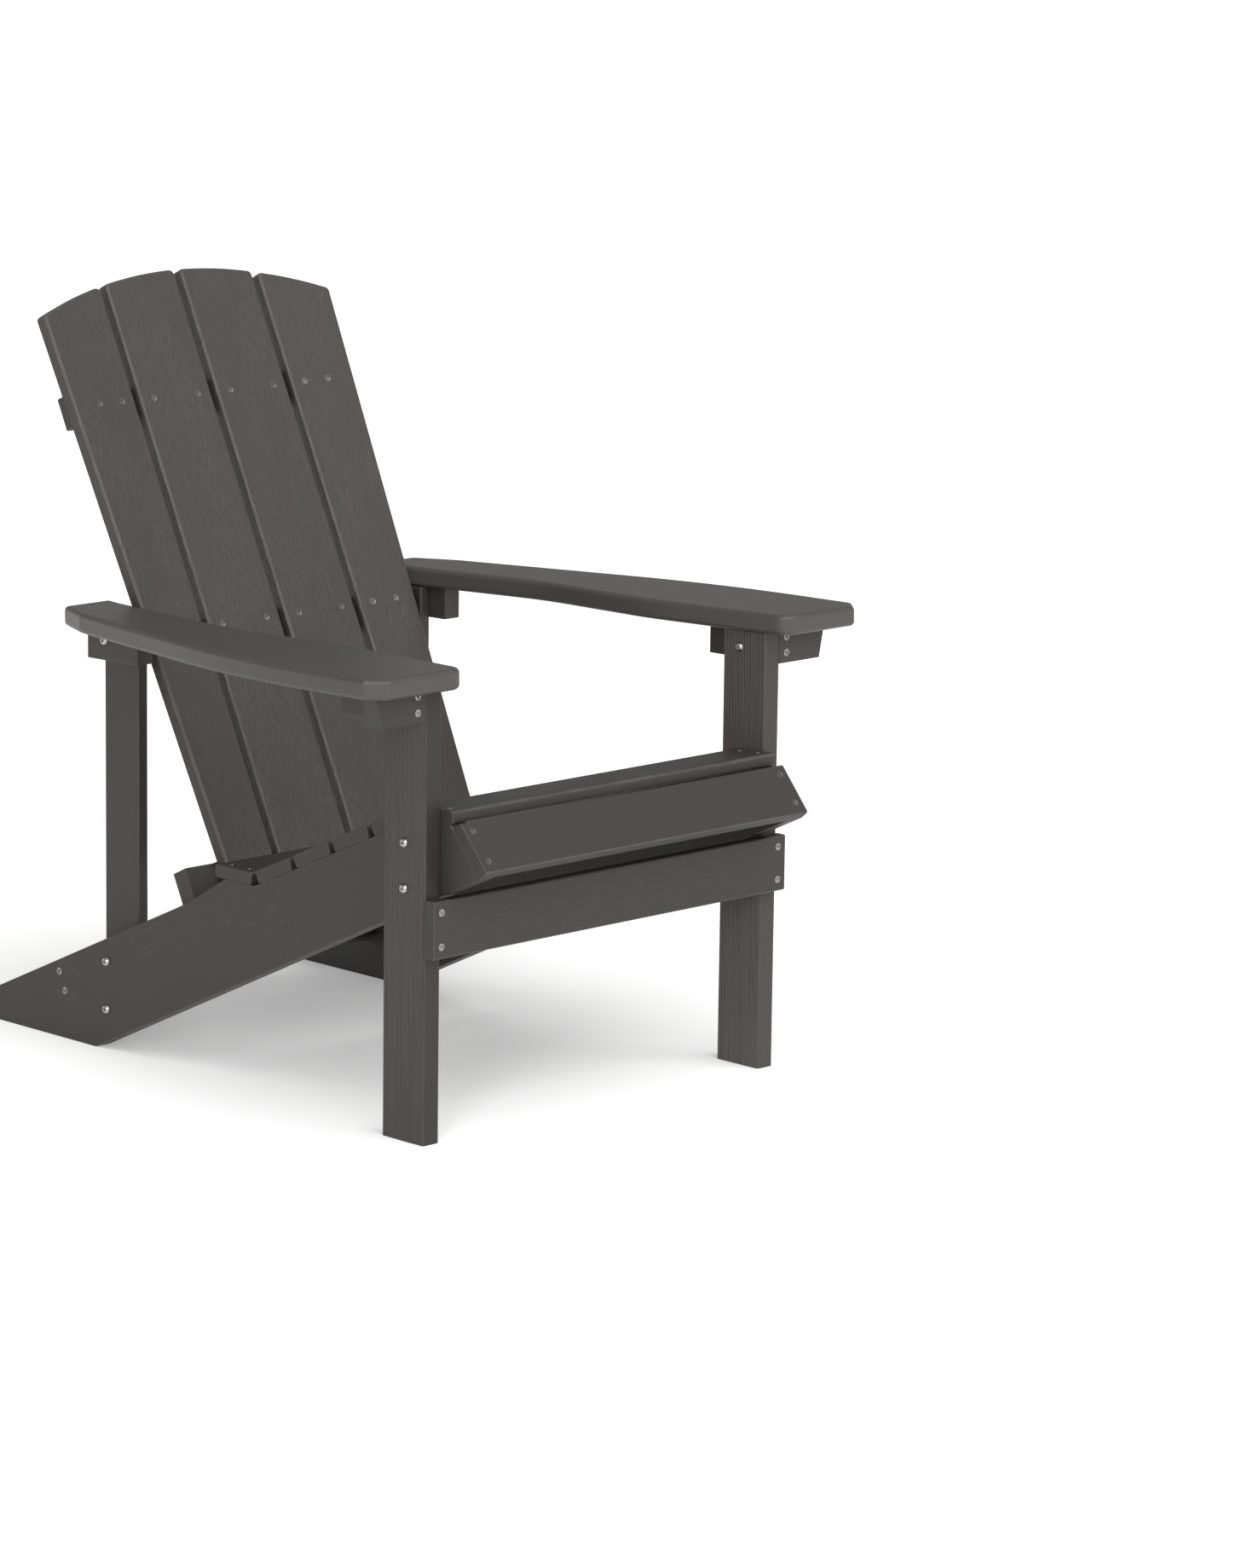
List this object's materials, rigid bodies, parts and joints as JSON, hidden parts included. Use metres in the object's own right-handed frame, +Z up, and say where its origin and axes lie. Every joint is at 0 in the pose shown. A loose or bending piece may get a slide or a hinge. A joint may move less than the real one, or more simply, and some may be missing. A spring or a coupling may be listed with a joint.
{
  "type": "adirondack chair",
  "caption": "Low adirondack garden chair of dark grey plastic lumber: sloping slatted seat, tall reclined slatted back with an arched top, wide flat armrests and visible steel fasteners.",
  "frame": {"origin": "on the floor, under the middle of the chair's bounding box", "axes": "+Z up; the chair faces -Y, so a person sits looking along -Y; X runs across the chair. In node names left is the -X side and right is the +X side, as seen by someone who stands in front of the chair and looks at it."},
  "size_m": [0.814, 0.929, 0.9386],
  "materials": {
    "plastic_lumber": "matte, embossed wood grain",
    "armrest_lumber": "satin, nearly smooth",
    "fastener_steel": "bright stainless steel"
  },
  "bodies": {
    "root": {"apron_screws": "fastener_steel", "armrest_screws": "fastener_steel", "bolt_nuts": "fastener_steel", "bolt_washers": "fastener_steel", "brace_screws": "fastener_steel", "bracket_screws": "fastener_steel", "fifth_seat_slat": "plastic_lumber", "fourth_seat_slat": "plastic_lumber", "front_apron": "plastic_lumber", "front_block_bolts": "fastener_steel", "front_seat_slat": "plastic_lumber", "front_stretcher": "plastic_lumber", "left_armrest": "armrest_lumber", "left_bracket": "plastic_lumber", "left_front_block": "plastic_lumber", "left_front_leg": "plastic_lumber", "left_inner_back_slat": "plastic_lumber", "left_outer_back_slat": "plastic_lumber", "left_rear_block": "plastic_lumber", "left_rear_post": "plastic_lumber", "left_stringer": "plastic_lumber", "leg_bolts": "fastener_steel", "lower_back_rail": "plastic_lumber", "lower_back_screws": "fastener_steel", "lower_rail_screws": "fastener_steel", "middle_back_rail": "plastic_lumber", "middle_back_screws": "fastener_steel", "post_bolts": "fastener_steel", "rear_block_bolts": "fastener_steel", "rear_brace": "plastic_lumber", "rear_seat_slat": "plastic_lumber", "right_armrest": "armrest_lumber", "right_bracket": "plastic_lumber", "right_front_block": "plastic_lumber", "right_front_leg": "plastic_lumber", "right_inner_back_slat": "plastic_lumber", "right_outer_back_slat": "plastic_lumber", "right_rear_block": "plastic_lumber", "right_rear_post": "plastic_lumber", "right_stringer": "plastic_lumber", "seat_screws": "fastener_steel", "second_seat_slat": "plastic_lumber", "stretcher_screws": "fastener_steel", "third_seat_slat": "plastic_lumber", "upper_back_rail": "plastic_lumber", "upper_back_screws": "fastener_steel"}
  },
  "joints": []
}
